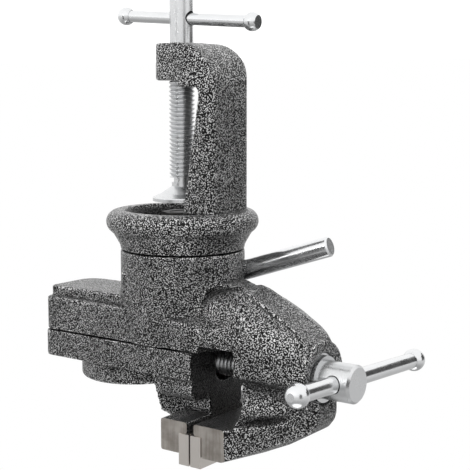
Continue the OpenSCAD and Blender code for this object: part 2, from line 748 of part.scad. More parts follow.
module clamp_pad() {
    step_z = -pad_gap - pad_h;
    color(bright) translate([0, 0, step_z]) rotate_extrude() difference() {
        polygon(pad_outline);
        translate([-cut, -cut]) square([clamp_pin_r + turn_fit + cut, pad_h - pad_roof + turn_fit + cut]);
    }
}

// Frame of the clamp screw's bar: along X of the frame, which points to the column, with its loose tilt
module clamp_bar_frame(tilt) {
    translate([0, 0, -arm_low - face_gap - clamp_head_l / 2])
        rotate([0, 0, -90 - clamp_bar_turn]) rotate([0, -tilt, 0]) children();
}

module clamp_bar() {
    color(bright) clamp_bar_frame(clamp_bar_tilt) translate([clamp_bar_shift, 0, 0]) bar(clamp_bar_r, clamp_bar_l);
}

module clamp_bar_knobs() {
    color(bright) clamp_bar_frame(clamp_bar_tilt) translate([clamp_bar_shift, 0, 0])
        bar_knobs(clamp_bar_l, clamp_knob_r, clamp_bar_r, clamp_knob_flat);
}

module lock_rod() {
    reach = sqrt(neck_top_r * neck_top_r - lock_offset * lock_offset) / cos(lock_slope);
    start = cotter_end + face_gap;
    tip = reach + lock_out_l - rod_edge;
    color(bright) lock_frame() {
        translate([0, 0, start]) cylinder(r = lock_r, h = tip - start);
        translate([0, 0, tip]) cylinder(r1 = lock_r, r2 = lock_r - rod_edge, h = rod_edge);
    }
}

module lock_cotter() {
    length = cotter_end - cotter_start;
    flat_x = lock_offset - bolt_r - cotter_flat_gap;
    color(bronze) lock_frame() translate([0, 0, cotter_start]) intersection() {
        cylinder(r = lock_r, h = length);
        translate([-2 * lock_r, -2 * lock_r, -cut]) cube([2 * lock_r + flat_x, 4 * lock_r, length + 2 * cut]);
    }
}

clamp_frame();
swivel_bolt();
base_washer();
base_spring_washer();
base_nut();
vise_body();
swivel_washer();
front_jaw_plate();
front_jaw_screws();
slide_jaw();
rear_jaw_plate();
rear_jaw_screws();
spindle_nut();
nut_pin();
spindle();
thrust_washer();
spindle_collar_washer();
spindle_clip();
spindle_bar();
spindle_bar_knobs();
clamp_screw();
clamp_pad();
clamp_bar();
clamp_bar_knobs();
lock_rod();
lock_cotter();
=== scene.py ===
"""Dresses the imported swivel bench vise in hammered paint, plated screws and bars, and ground jaws."""
import json
import math

import bmesh
import bpy
import numpy as np
from mathutils import Matrix, Vector


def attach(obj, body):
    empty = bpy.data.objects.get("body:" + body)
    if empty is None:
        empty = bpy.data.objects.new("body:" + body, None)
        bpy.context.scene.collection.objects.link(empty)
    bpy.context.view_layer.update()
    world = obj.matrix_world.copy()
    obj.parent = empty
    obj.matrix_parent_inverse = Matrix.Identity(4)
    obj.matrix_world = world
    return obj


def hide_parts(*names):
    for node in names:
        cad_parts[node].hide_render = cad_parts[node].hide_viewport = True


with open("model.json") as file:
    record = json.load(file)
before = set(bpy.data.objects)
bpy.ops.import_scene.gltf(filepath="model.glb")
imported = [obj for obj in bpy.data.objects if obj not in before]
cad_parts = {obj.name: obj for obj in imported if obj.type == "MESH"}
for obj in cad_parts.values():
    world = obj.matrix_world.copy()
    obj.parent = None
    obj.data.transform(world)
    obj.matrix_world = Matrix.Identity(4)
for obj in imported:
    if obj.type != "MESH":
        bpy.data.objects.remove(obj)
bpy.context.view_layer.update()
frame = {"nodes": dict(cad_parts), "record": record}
scene = bpy.context.scene
nodes = frame["nodes"]
slot_of = {part["node"]: part["material_slot"] for part in frame["record"]["subparts"]}

MM = 0.001
MM_PER_M = 1000


# Small helpers for materials


def node_tree(material):
    """Clears a material and gives its tree and its Principled shader, which feeds the output."""
    material.use_nodes = True
    tree = material.node_tree
    tree.nodes.clear()
    output = tree.nodes.new("ShaderNodeOutputMaterial")
    shader = tree.nodes.new("ShaderNodeBsdfPrincipled")
    tree.links.new(shader.outputs["BSDF"], output.inputs["Surface"])
    return tree, shader


def add(tree, kind, **values):
    """Adds a node; keyword values set its properties, or its inputs where it has an input of that name."""
    node = tree.nodes.new(kind)
    for name, value in values.items():
        if name in node.inputs:
            node.inputs[name].default_value = value
        else:
            setattr(node, name, value)
    return node


def position(tree):
    """The point's place in the part's own frame, so that a pattern moves with its piece."""
    return add(tree, "ShaderNodeTexCoord").outputs["Object"]


def axes(tree, vector):
    """The x, y and z of a vector socket."""
    split = add(tree, "ShaderNodeSeparateXYZ")
    tree.links.new(vector, split.inputs["Vector"])
    return split.outputs["X"], split.outputs["Y"], split.outputs["Z"]


def length(tree, vector):
    """The length of a vector socket."""
    node = add(tree, "ShaderNodeVectorMath", operation="LENGTH")
    tree.links.new(vector, node.inputs[0])
    return node.outputs["Value"]


def noise(tree, vector, scale, detail):
    """Noise over a vector socket, with its scale per metre."""
    node = add(tree, "ShaderNodeTexNoise", Scale=scale, Detail=detail)
    tree.links.new(vector, node.inputs["Vector"])
    return node.outputs["Fac"]


def fade(tree, value, low, high, low_out=0.0, high_out=1.0):
    """A smooth ramp from low_out to high_out while value goes from low to high."""
    ramp_node = add(tree, "ShaderNodeMapRange", interpolation_type="SMOOTHSTEP")
    ramp_node.inputs["From Min"].default_value = low
    ramp_node.inputs["From Max"].default_value = high
    ramp_node.inputs["To Min"].default_value = low_out
    ramp_node.inputs["To Max"].default_value = high_out
    tree.links.new(value, ramp_node.inputs["Value"])
    return ramp_node.outputs["Result"]


def fade_mm(tree, value, low, high, low_out=0.0, high_out=1.0):
    """The same ramp for a length, with low and high in millimetres."""
    return fade(tree, value, low * MM, high * MM, low_out, high_out)


def combine(tree, operation, first, *others):
    """Math nodes in a row: first with each of the others in turn, all of them sockets or plain numbers."""
    for other in others:
        node = add(tree, "ShaderNodeMath", operation=operation)
        for index, value in enumerate((first, other)):
            if isinstance(value, (int, float)):
                node.inputs[index].default_value = value
            else:
                tree.links.new(value, node.inputs[index])
        first = node.outputs["Value"]
    return first


def absolute(tree, value):
    """The value of a socket without its sign."""
    return combine(tree, "ABSOLUTE", value, 0.0)


def mix_colours(tree, factor, first, second):
    """Mixes two colours, each a socket or an RGBA tuple."""
    node = add(tree, "ShaderNodeMix", data_type="RGBA")
    tree.links.new(factor, node.inputs["Factor"])
    for name, value in (("A", first), ("B", second)):
        socket = [s for s in node.inputs if s.name == name and s.type == "RGBA"][0]
        if isinstance(value, tuple):
            socket.default_value = value
        else:
            tree.links.new(value, socket)
    return [s for s in node.outputs if s.type == "RGBA"][0]


def grey(level, warmth=0.0):
    """A grey as RGBA; warmth moves it towards red, or towards blue where it is negative."""
    return (level * (1 + warmth), level, level * (1 - warmth), 1.0)


def grey_of(tree, value):
    """A grey colour whose level is the value of a socket."""
    node = add(tree, "ShaderNodeCombineColor")
    for channel in ("Red", "Green", "Blue"):
        tree.links.new(value, node.inputs[channel])
    return node.outputs["Color"]


def add_bump(tree, shader, height, strength, depth):
    """Gives a shader's surface relief from the value of a socket."""
    bump = add(tree, "ShaderNodeBump", Strength=strength, Distance=depth)
    tree.links.new(height, bump.inputs["Height"])
    tree.links.new(bump.outputs["Normal"], shader.inputs["Normal"])


# Hammered paint: its noise in millimetres, where in the noise a strand begins and is full, and its shader
CELL_MM = 0.5
COARSE_CELL_MM = 0.56
PATTERN_TURN = (0.5, 0.7, 0.3)
STRAND_FROM = 0.56
STRAND_FULL = 0.588
FRAME_PARTING = 0.01
POOL_GREY = 0.001
STRAND_GREY = 0.5
HIGHLIGHT_GREY = 0.95
POOL_RELIEF = (0.35, 0.65)
PAINT_BUMP = 0.7
PAINT_BUMP_DEPTH = 0.3 * MM
FLAKE_METAL = 0.6
PAINT_ROUGHNESS = 0.28
PAINT_SPECULAR = 0.18

# Cloudy changes of tone: noise between these levels counts, and dims the strands to this share
CLOUD_SCALE = 60.0
CLOUD_RANGE = (0.3, 0.7)
CLOUD_DIM = 0.75

# How the surface bends at outer edges and in dents, and the painted highlight and painted shade put there
EDGE_BEND = (0.504, 0.52)
EDGE_PAINTED_HIGHLIGHT = 0.55
DENT_BEND = (0.475, 0.493)
DENT_SHADE_LEFT = 0.35
SWELL_PAINTED_HIGHLIGHT = 0.5
FRAME_PAINTED_HIGHLIGHT = 0.25
LINE_SHADE_LEFT = 0.25

# Places on the castings, in millimetres in the part's frame, and the share of the strands left where painted
# shade darkens them
FADE = 1
COARSE_FROM_Y = -24
COARSE_FADE = 4
GROUND_ABOVE_Z = 91.6
GROUND_FADE = 0.4
GROUND_MARGIN = 1
GROUND_HALF_W = 29.95
GROUND_SKIN = (0.03, 0.01)
# The hollow under the base ring, darkened as painted shade
HOLLOW_R = 27
HOLLOW_TOP = 11
HOLLOW_LOW = (-1, 0.5)
HOLLOW_SHADE_LEFT = 0.12
SWIVEL_SEAM_Z = 18.7
SLIDE_SEAM_Z = 61.1
SEAM_RANGE = (0.3, 0.6)
SEAM_FADE = 0.05
SLOT_FRONT_Y = -49
SLOT_BACK_Y = -18
SLOT_LOW_Z = 58
# How nearly a face in the throat looks along Y or down, and the share of its strands that painted shade then
# takes
FACING_FROM = 0.8
FACING_FULL = 0.92
THROAT_PAINTED_SHADE = 0.75

# Ground ends of the jaw castings
GRIND_STRETCH = (1.0, 1.0, 0.05)
GRIND_SCALE = 900.0
STAIN_SCALE = 160.0
GRIND_SHARE = 0.5
GRIND_RANGE = (0.5, 1.0)
STAINED_STEEL = grey(0.25, warmth=0.1)
CLEAN_STEEL = grey(0.42, warmth=0.07)
GROUND_ROUGHER = 0.14


def paint_cells(tree, place, y, on_frame):
    """The pattern's noise, coarser on the clamp frame and on the nose, where the coat is thicker."""
    # Its own axes are turned away from the flat faces, so that all faces show it alike
    turned = add(tree, "ShaderNodeMapping", Rotation=PATTERN_TURN)
    tree.links.new(place, turned.inputs["Vector"])
    fine = noise(tree, turned.outputs["Vector"], MM_PER_M / CELL_MM, detail=0.0)
    coarse = noise(tree, turned.outputs["Vector"], MM_PER_M / COARSE_CELL_MM, detail=0.0)
    on_nose = fade_mm(tree, y, COARSE_FROM_Y - COARSE_FADE, COARSE_FROM_Y, 1.0, 0.0)
    thick = combine(tree, "MAXIMUM", on_nose, on_frame)
    less_fine = combine(tree, "MULTIPLY", fine, combine(tree, "SUBTRACT", 1.0, thick))
    return combine(tree, "ADD", less_fine, combine(tree, "MULTIPLY", coarse, thick))


def off_seam(tree, height, seam_z):
    """0 at a seam's height, 1 clear of it."""
    offset = combine(tree, "SUBTRACT", height, seam_z * MM)
    return fade_mm(tree, absolute(tree, offset), *SEAM_RANGE)


def coat_and_painted_shade(tree, x, y, z):
    """The share of the strands that a place keeps: painted shade in the base's hollow and in the throat, and
    dark bare seams.
    """
    # The hollow under the base ring is painted nearly black: painted shade
    flat_place = add(tree, "ShaderNodeCombineXYZ")
    tree.links.new(x, flat_place.inputs["X"])
    tree.links.new(y, flat_place.inputs["Y"])
    radius = length(tree, flat_place.outputs["Vector"])
    outside = fade_mm(tree, radius, HOLLOW_R - FADE, HOLLOW_R + FADE, HOLLOW_SHADE_LEFT, 1.0)
    over = fade_mm(tree, z, HOLLOW_TOP, HOLLOW_TOP + FADE)
    below = fade_mm(tree, z, *HOLLOW_LOW, 1.0, 0.0)
    hollow_shading = combine(tree, "MAXIMUM", outside, over, below)
    # The turning seam, all round, and the sliding seam, behind the slot, are bare and dark
    front = fade_mm(tree, y, SLOT_BACK_Y - 2 * FADE, SLOT_BACK_Y, 1.0, 0.0)
    swivel_seam = off_seam(tree, z, SWIVEL_SEAM_Z)
    slide_seam = combine(tree, "MAXIMUM", off_seam(tree, z, SLIDE_SEAM_Z), front)
    seams = combine(tree, "MULTIPLY", swivel_seam, slide_seam)
    # The faces inside the throat between the jaws are painted darker: painted shade
    _, facing_y, facing_z = axes(tree, add(tree, "ShaderNodeTexCoord").outputs["Normal"])
    across = fade(tree, absolute(tree, facing_y), FACING_FROM, FACING_FULL)
    downward = fade(tree, facing_z, -FACING_FULL, -FACING_FROM, 1.0, 0.0)
    turned_in = combine(tree, "MAXIMUM", across, downward)
    behind = fade_mm(tree, y, SLOT_FRONT_Y - 2 * FADE, SLOT_FRONT_Y - FADE)
    above = fade_mm(tree, z, SLOT_LOW_Z - FADE, SLOT_LOW_Z)
    in_throat = combine(tree, "MULTIPLY", behind, front, above)
    throat_shade = combine(tree, "MULTIPLY", turned_in, in_throat, THROAT_PAINTED_SHADE)
    throat = combine(tree, "SUBTRACT", 1.0, throat_shade)
    return combine(tree, "MULTIPLY", hollow_shading, seams, throat)


def ground_steel(tree, place):
    """The colour of bare steel with grinding lines along Z and faint stains."""
    stretch = add(tree, "ShaderNodeMapping", Scale=GRIND_STRETCH)
    tree.links.new(place, stretch.inputs["Vector"])
    lines = noise(tree, stretch.outputs["Vector"], GRIND_SCALE, detail=4.0)
    stains = noise(tree, place, STAIN_SCALE, detail=4.0)
    streaks = combine(tree, "ADD", combine(tree, "MULTIPLY", lines, GRIND_SHARE), stains)
    return mix_colours(tree, fade(tree, streaks, *GRIND_RANGE), STAINED_STEEL, CLEAN_STEEL)


def hammered_paint():
    """Glossy hammered enamel: light strands on dark pools, with painted highlights on edges and swells,
    painted shade in dents, hollows and the throat, and the jaws' end faces ground bare.
    """
    material = bpy.data.materials.new("hammered_paint")
    tree, shader = node_tree(material)
    place = position(tree)
    x, y, z = axes(tree, place)
    on_frame = fade_mm(tree, z, SWIVEL_SEAM_Z - SEAM_FADE, SWIVEL_SEAM_Z, 1.0, 0.0)
    cells = paint_cells(tree, place, y, on_frame)
    # On the frame the strands are fewer, and a painted highlight below makes them brighter
    parted = combine(tree, "SUBTRACT", cells, combine(tree, "MULTIPLY", on_frame, FRAME_PARTING))
    strands = fade(tree, parted, STRAND_FROM, STRAND_FULL)
    clouds = noise(tree, place, CLOUD_SCALE, detail=2.0)
    shade = fade(tree, clouds, *CLOUD_RANGE, CLOUD_DIM, 1.0)
    # Painted highlight on outer edges, on the nose's swells and over the clamp frame, and painted shade in
    # dents and in the nose's hollows
    bend = add(tree, "ShaderNodeNewGeometry").outputs["Pointiness"]
    on_edges = fade(tree, bend, *EDGE_BEND, 0.0, EDGE_PAINTED_HIGHLIGHT)
    light = add(tree, "ShaderNodeAttribute", attribute_name="painted_highlight").outputs["Fac"]
    on_swells = combine(tree, "MULTIPLY", light, SWELL_PAINTED_HIGHLIGHT)
    # Over the whole clamp frame the strands are lightened: painted highlight
    on_arm = combine(tree, "MULTIPLY", on_frame, FRAME_PAINTED_HIGHLIGHT)
    shine = combine(tree, "MAXIMUM", on_edges, on_swells, on_arm)
    dents = fade(tree, bend, *DENT_BEND, DENT_SHADE_LEFT, 1.0)
    dark = add(tree, "ShaderNodeAttribute", attribute_name="painted_shade").outputs["Fac"]
    hollows = combine(tree, "MULTIPLY", dents, fade(tree, dark, 0.0, 1.0, 1.0, LINE_SHADE_LEFT))
    shaded_coat = combine(tree, "MULTIPLY", hollows, coat_and_painted_shade(tree, x, y, z))
    flakes = combine(tree, "MULTIPLY", strands, shade, shaded_coat)
    flake_colour = mix_colours(tree, shine, grey(STRAND_GREY), grey(HIGHLIGHT_GREY))
    paint = mix_colours(tree, flakes, grey(POOL_GREY), flake_colour)

    # Ground bare steel on the end faces of the jaw castings
    skin_from, skin_full = GROUND_SKIN
    at_end = fade_mm(tree, absolute(tree, x), GROUND_HALF_W - skin_from, GROUND_HALF_W - skin_full)
    at_jaw = fade_mm(tree, z, GROUND_ABOVE_Z, GROUND_ABOVE_Z + GROUND_FADE)
    ground = combine(tree, "MULTIPLY", at_end, at_jaw)
    colour = mix_colours(tree, ground, paint, ground_steel(tree, place))
    tree.links.new(colour, shader.inputs["Base Color"])
    metal = combine(tree, "MAXIMUM", combine(tree, "MULTIPLY", flakes, FLAKE_METAL), ground)
    tree.links.new(metal, shader.inputs["Metallic"])
    rough = combine(tree, "ADD", PAINT_ROUGHNESS, combine(tree, "MULTIPLY", ground, GROUND_ROUGHER))
    tree.links.new(rough, shader.inputs["Roughness"])
    shader.inputs["Specular IOR Level"].default_value = PAINT_SPECULAR
    pools = fade(tree, cells, *POOL_RELIEF)
    relief = combine(tree, "MULTIPLY", pools, combine(tree, "SUBTRACT", 1.0, ground))
    add_bump(tree, shader, relief, PAINT_BUMP, PAINT_BUMP_DEPTH)
    return material


# Wear on the plated and bare metals
WEAR_SCALE = 120.0
WEAR_RANGE = (0.3, 0.7)
WEAR_DARKER = 0.9
WEAR_LIGHTER = 1.06
SCRATCH_SCALE = 1500.0
SCRATCH_DEPTH = 0.1 * MM


def bright_metal(name, level, warmth, roughness, spread, scratch):
    """Plated or polished metal with faint cloudy wear and fine scratches."""
    material = bpy.data.materials.new(name)
    tree, shader = node_tree(material)
    place = position(tree)
    clouds = noise(tree, place, WEAR_SCALE, detail=4.0)
    darker = grey(level * WEAR_DARKER, warmth)
    lighter = grey(min(level * WEAR_LIGHTER, 1.0), warmth)
    tree.links.new(mix_colours(tree, clouds, darker, lighter), shader.inputs["Base Color"])
    shader.inputs["Metallic"].default_value = 1.0
    rough = fade(tree, clouds, *WEAR_RANGE, roughness, roughness + spread)
    tree.links.new(rough, shader.inputs["Roughness"])
    marks = noise(tree, place, SCRATCH_SCALE, detail=3.0)
    add_bump(tree, shader, marks, scratch, SCRATCH_DEPTH)
    return material


PAINT = hammered_paint()
ZINC = bright_metal("bright_zinc_plate", level=0.66, warmth=-0.01, roughness=0.24, spread=0.12, scratch=0.10)
CHROME = bright_metal("polished_plate", level=0.74, warmth=-0.01, roughness=0.16, spread=0.08, scratch=0.05)
STEEL = bright_metal("ground_jaw_steel", level=0.57, warmth=0.06, roughness=0.32, spread=0.12, scratch=0.16)
BLACKENED_AND_SHADED = bright_metal("blackened_steel_in_shade", level=0.06, warmth=0.02, roughness=0.42, spread=0.12, scratch=0.1)
BRONZE = bright_metal("machined_bronze", level=0.34, warmth=0.28, roughness=0.35, spread=0.1, scratch=0.1)
FINISHES = {
    "cast_paint": PAINT,
    "bright_zinc": ZINC,
    "chrome_bar": CHROME,
    "ground_steel": STEEL,
    "bronze": BRONZE,
}

# The fasteners inside the base are near black: blackened steel, and painted shade of the hollow they sit in
OWN_FINISH = {name: BLACKENED_AND_SHADED for name in ("swivel_bolt", "base_washer", "base_spring_washer", "base_nut")}
for name, node_object in nodes.items():
    node_object.data.materials.clear()
    node_object.data.materials.append(OWN_FINISH.get(name, FINISHES[slot_of[name]]))


# Castings

VOXEL_MM = 0.55
RELAX_FACTOR = 0.5
GRIND_MM = 1.5
CUT_TOLERANCE = 1e-7


def grind_ends(mesh):
    """Cuts both ends of a jaw casting flat, as they are ground after casting."""
    work = bmesh.new()
    work.from_mesh(mesh)
    for side in (-1, 1):
        whole = work.verts[:] + work.edges[:] + work.faces[:]
        cut = bmesh.ops.bisect_plane(work, geom=whole, dist=CUT_TOLERANCE, clear_outer=True,
                                     plane_co=(side * GROUND_HALF_W * MM, 0, 0), plane_no=(side, 0, 0))
        rim = [item for item in cut["geom_cut"] if isinstance(item, bmesh.types.BMEdge)]
        for edge in rim:
            edge.smooth = False
        for face in bmesh.ops.edgenet_fill(work, edges=rim)["faces"]:
            face.smooth = False
    work.to_mesh(mesh)
    work.free()


# Lines on the +X side of the nose, in millimetres; the -X side has the same ones
NOSE_ARCH = ((20, -26, 48), (19, -25, 45), (17.7, -23.4, 40), (14.7, -25.4, 34.2), (9.2, -27.9, 32),
             (6.5, -34, 32.3))
KEEL_EDGE = ((6.5, -34, 32.3), (9, -43.7, 34.6), (9.8, -49.9, 38.4), (9.8, -57.7, 42.7), (9, -64, 46.2),
             (9, -70, 49.8))
NOSE_SWELL = ((16, -31, 40), (18.7, -42.4, 42.3), (19.5, -53.8, 46), (17.4, -62.9, 50.4), (14.6, -71, 55.4))
WALL_EDGE = ((23, -30, 47.5), (24.3, -41, 47.5), (25, -51.4, 48.3), (25.4, -57, 53.4), (24.9, -58, 59),
             (24.8, -58.4, 65))
# The ledge along the front jaw, the lit band of the flare under it, and the tuck below the nose
JAW_LEDGE = ((29.0, -44.3, 92.7), (26.3, -50.6, 92.0), (22.5, -56.9, 91.2), (18.8, -63.2, 90.4),
             (15.4, -68.8, 88.9), (13.6, -71.9, 87.3), (12.5, -73.8, 85.0))
JAW_FLARE = ((20.7, -51.1, 82.4), (20.9, -57.5, 83.2), (18.1, -64.4, 83.8), (14.3, -70.6, 84.4))
NOSE_TUCK = ((24.5, -51.0, 71.0), (22.6, -56.9, 72.6), (21.2, -64.8, 73.0), (19.3, -69.6, 73.4),
             (15.9, -77.6, 76.5))

# How far the surface moves along each line, and over what distance that fades, in millimetres
ARCH_RIM = (0.4, 1.2)
ARCH_SCOOP = (-1.5, 1.9)
KEEL_GROOVE = (-0.8, 0.75)
SIDE_SWELL = (1.1, 5.5)
LEDGE_CUT = (-1.9, 1.7)
LEDGE_RIM = (0.35, 0.9)
FLARE_RISE = (0.7, 2.6)
TUCK_CUT = (-1.7, 2.2)
# How strong the painted shade or painted highlight is along each line, and over what distance that fades
TUCK_DARK = (1.0, 2.4)
LEDGE_DARK = (1.0, 1.7)
ARCH_DARK = (1.0, 2.0)
SWELL_LIGHT = (1.0, 4.5)
FLARE_LIGHT = (1.0, 2.4)
# How far off its line each of these lies
SCOOP_OFFSET = 3.2
CUT_OFFSET = 2.2
TUCK_DARK_OFFSET = 1.8
LEDGE_DARK_OFFSET = 4.2
ARCH_DARK_OFFSET = 3.0

NOSE_BACK_Y = -20
NOSE_TOP_Z = 62
SCOOP_TOP_Z = 43
ARCH_DARK_TOP_Z = 40
JAW_RELIEF_FROM_Y = -49
LEDGE_END_Y = -76

SOFT_ROUNDS = 260
SOFT_STEP = 0.5
SOFT_REACH_MM = 11
SOFT_BELOW_Z = 56
SOFT_BEFORE_Y = -53


def nearest_on(line, points):
    """For each point the nearest place on a line of straight steps, and its distance."""
    best = np.full(len(points), np.inf)
    place = np.zeros_like(points)
    for start, end in zip(np.array(line[:-1], float), np.array(line[1:], float)):
        step = end - start
        share = np.clip((points - start) @ step / (step @ step), 0, 1)
        spot = start + share[:, None] * step
        distance = np.linalg.norm(points - spot, axis=1)
        closer = distance < best
        best[closer] = distance[closer]
        place[closer] = spot[closer]
    return place, best


def ridge(distance, height_and_width):
    """A ridge along a line, or a groove where the height is negative, that fades off on both sides."""
    height, width = height_and_width
    return height * np.exp(-(distance / width) ** 2)


def ramp(value, over):
    """Rises from 0 to 1 while value goes from 0 to over."""
    return np.clip(value / over, 0, 1)


def read_mesh(mesh):
    """A mesh's points in millimetres, its normals and its edges."""
    points = np.empty(len(mesh.vertices) * 3)
    mesh.vertices.foreach_get("co", points)
    normals = np.empty(len(mesh.vertices) * 3)
    mesh.vertices.foreach_get("normal", normals)
    edges = np.empty(len(mesh.edges) * 2, dtype=np.int64)
    mesh.edges.foreach_get("vertices", edges)
    return points.reshape(-1, 3) * MM_PER_M, normals.reshape(-1, 3), edges.reshape(-1, 2)


def soften(points, edges, weight):
    """Relaxes the weighted points towards their neighbours' mean."""
    active = weight > 0
    edges = edges[active[edges[:, 0]] | active[edges[:, 1]]]
    ends = np.concatenate([edges[:, 0], edges[:, 1]])
    others = np.concatenate([edges[:, 1], edges[:, 0]])
    count = np.maximum(np.bincount(ends, minlength=len(points)), 1)
    for _ in range(SOFT_ROUNDS):
        means = [np.bincount(ends, points[others, axis], len(points)) / count for axis in range(3)]
        points[active] += (SOFT_STEP * weight[:, None] * (np.stack(means, 1) - points))[active]


def store(mesh, name, values):
    """Keeps one number per vertex for the paint to read."""
    layer = mesh.attributes.new(name, "FLOAT", "POINT")
    layer.data.foreach_set("value", values.astype(np.float32))


def shape_nose(mesh):
    """Gives the cast nose its arch, keel groove and swell, and the front jaw its ledge, flare and tuck, and
    stores painted shade and painted highlight along them.
    """
    points, normals, edges = read_mesh(mesh)
    mirror = np.where(points[:, :1] < 0, -1.0, 1.0) * np.array([1.0, 0, 0]) + np.array([0, 1.0, 1.0])

    # The edge of the nose's wall is softened, fully within half the reach, except at the slot
    wall_distance = nearest_on(WALL_EDGE, points * mirror)[1]
    reach = np.clip(2 - 2 * wall_distance / SOFT_REACH_MM, 0, 1)
    below_slot = ramp(SOFT_BELOW_Z - points[:, 2], over=4)
    before_slot = ramp(SOFT_BEFORE_Y - points[:, 1], over=3)
    soften(points, edges, reach * np.maximum(below_slot, before_slot))

    near = points * mirror
    outward = normals * mirror
    arch_place, arch_distance = nearest_on(NOSE_ARCH, near)
    swell_place, swell_distance = nearest_on(NOSE_SWELL, near)
    keel_distance = nearest_on(KEEL_EDGE, near)[1]
    inside = ((near - arch_place) * (swell_place - arch_place)).sum(1) > 0
    # The arch has its rim on the +X side only
    rim = ridge(arch_distance, ARCH_RIM) * (points[:, 0] >= 0)
    scoop = ridge(arch_distance - SCOOP_OFFSET, ARCH_SCOOP) * inside * ramp(SCOOP_TOP_Z - near[:, 2], over=8)
    groove = ridge(keel_distance, KEEL_GROOVE)
    swell = ridge(swell_distance, SIDE_SWELL)
    move = (rim + scoop + groove + swell) * (near[:, 1] < NOSE_BACK_Y) * (near[:, 2] < NOSE_TOP_Z)
    ledge_place, ledge_distance = nearest_on(JAW_LEDGE, near)
    flare_distance = nearest_on(JAW_FLARE, near)[1]
    tuck_distance = nearest_on(NOSE_TUCK, near)[1]
    under_ledge = ramp(ledge_place[:, 2] - near[:, 2], over=0.6)
    run_out = ramp(near[:, 1] - LEDGE_END_Y, over=14)
    ledge_cut = ridge(ledge_distance - CUT_OFFSET, LEDGE_CUT) * under_ledge * run_out
    ledge_rim = ridge(ledge_distance, LEDGE_RIM) * run_out
    flare = ridge(flare_distance, FLARE_RISE)
    tuck = ridge(tuck_distance, TUCK_CUT)
    at_front = ramp(JAW_RELIEF_FROM_Y - near[:, 1], over=2) * ramp(outward[:, 0], over=0.25)
    move += (ledge_cut + ledge_rim + flare + tuck) * at_front
    points += move[:, None] * outward * mirror
    mesh.vertices.foreach_set("co", (points / MM_PER_M).ravel())
    mesh.update()

    # Painted shade in these hollows and painted highlight on these swells
    below_nose = ridge(np.maximum(tuck_distance - TUCK_DARK_OFFSET, 0), TUCK_DARK) * at_front
    past_ledge = np.maximum(ledge_distance - LEDGE_DARK_OFFSET, 0)
    below_ledge = ridge(past_ledge, LEDGE_DARK) * under_ledge * at_front * run_out
    below_top = ramp(ARCH_DARK_TOP_Z - near[:, 2], over=6)
    in_arch = ridge(arch_distance - ARCH_DARK_OFFSET, ARCH_DARK) * inside * below_top
    on_swell = ridge(swell_distance, SWELL_LIGHT) * (near[:, 2] < NOSE_TOP_Z)
    on_flare = ridge(flare_distance, FLARE_LIGHT) * at_front
    store(mesh, "painted_shade", np.maximum(np.maximum(below_nose, below_ledge), in_arch))
    store(mesh, "painted_highlight", np.maximum(on_swell, on_flare))


# The rear jaw's neck, the guide foot and the clamp screw's bore: their places and moves, in millimetres
NECK_X = (8, 14)
NECK_Y = (-27, -12)
NECK_Z = (76, 91)
NECK_FILL_MM = 0.9
FOOT_FROM_X = 15
FOOT_Z = (48, 55)
BORE_REACH_MM = 6.9
BORE_Z = (-78, -60)
CLEARANCE_MM = 0.3


def between(value, limits):
    """Whether a value lies between two limits."""
    return limits[0] < value < limits[1]


def shape_slide(mesh):
    """Fills out the rear jaw's neck a little below its plate, and keeps the guide foot clear of its slot."""
    for vertex in mesh.vertices:
        x, y, z = vertex.co * MM_PER_M
        if between(abs(x), NECK_X) and between(y, NECK_Y) and between(z, NECK_Z):
            vertex.co.x += math.copysign(NECK_FILL_MM * MM, x)
        if abs(x) > FOOT_FROM_X and between(z, FOOT_Z):
            vertex.co.x -= math.copysign(CLEARANCE_MM * MM, x)


def clear_bore(mesh):
    """Keeps the clamp frame's bore clear of the screw's thread."""
    for vertex in mesh.vertices:
        x, y, z = vertex.co * MM_PER_M
        radius = math.hypot(x, y)
        if radius < BORE_REACH_MM and between(z, BORE_Z):
            vertex.co.x += x / radius * CLEARANCE_MM * MM
            vertex.co.y += y / radius * CLEARANCE_MM * MM


def cast_piece(node, body, rounds, shape, ground=False):
    """A casting with soft edges: the node's own form, remeshed finely and relaxed, in the node's place."""
    mesh = nodes[node].data.copy()
    if ground:
        # The ends stand proud by what the grinding takes off
        for vertex in mesh.vertices:
            if abs(vertex.co.x) > GROUND_HALF_W * MM and vertex.co.z > (GROUND_ABOVE_Z - GROUND_MARGIN) * MM:
                vertex.co.x += math.copysign(GRIND_MM * MM, vertex.co.x)
    piece = bpy.data.objects.new(node + "_casting", mesh)
    scene.collection.objects.link(piece)
    bpy.context.view_layer.objects.active = piece
    piece.select_set(True)
    remesh = piece.modifiers.new("remesh", "REMESH")
    remesh.mode = "VOXEL"
    remesh.voxel_size = VOXEL_MM * MM
    remesh.use_smooth_shade = True
    relax = piece.modifiers.new("relax", "CORRECTIVE_SMOOTH")
    relax.smooth_type = "SIMPLE"
    relax.factor = RELAX_FACTOR
    relax.iterations = rounds
    relax.use_only_smooth = True
    for modifier in (remesh.name, relax.name):
        bpy.ops.object.modifier_apply(modifier=modifier)
    piece.select_set(False)
    piece.data.polygons.foreach_set("use_smooth", [True] * len(piece.data.polygons))
    shape(piece.data)
    if ground:
        grind_ends(piece.data)
    piece.data.materials.clear()
    piece.data.materials.append(PAINT)
    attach(piece, body)
    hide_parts(node)


cast_piece("clamp_frame", "base", rounds=6, shape=clear_bore)
cast_piece("vise_body", "head", rounds=5, shape=shape_nose, ground=True)
cast_piece("slide_jaw", "slide", rounds=4, shape=shape_slide, ground=True)


# The photograph is 470 pixels square and shows the vise upside down, so the camera is rolled by half a turn
PHOTO_PX = 470
FOCAL_PX = 1134
SENSOR_MM = 36
CAMERA_AZIMUTH = math.radians(54)
CAMERA_PITCH = math.radians(7.435)
CAMERA_DISTANCE = 533 * MM
CAMERA_HEIGHT = -57 * MM
AXIS_PX = 182.3


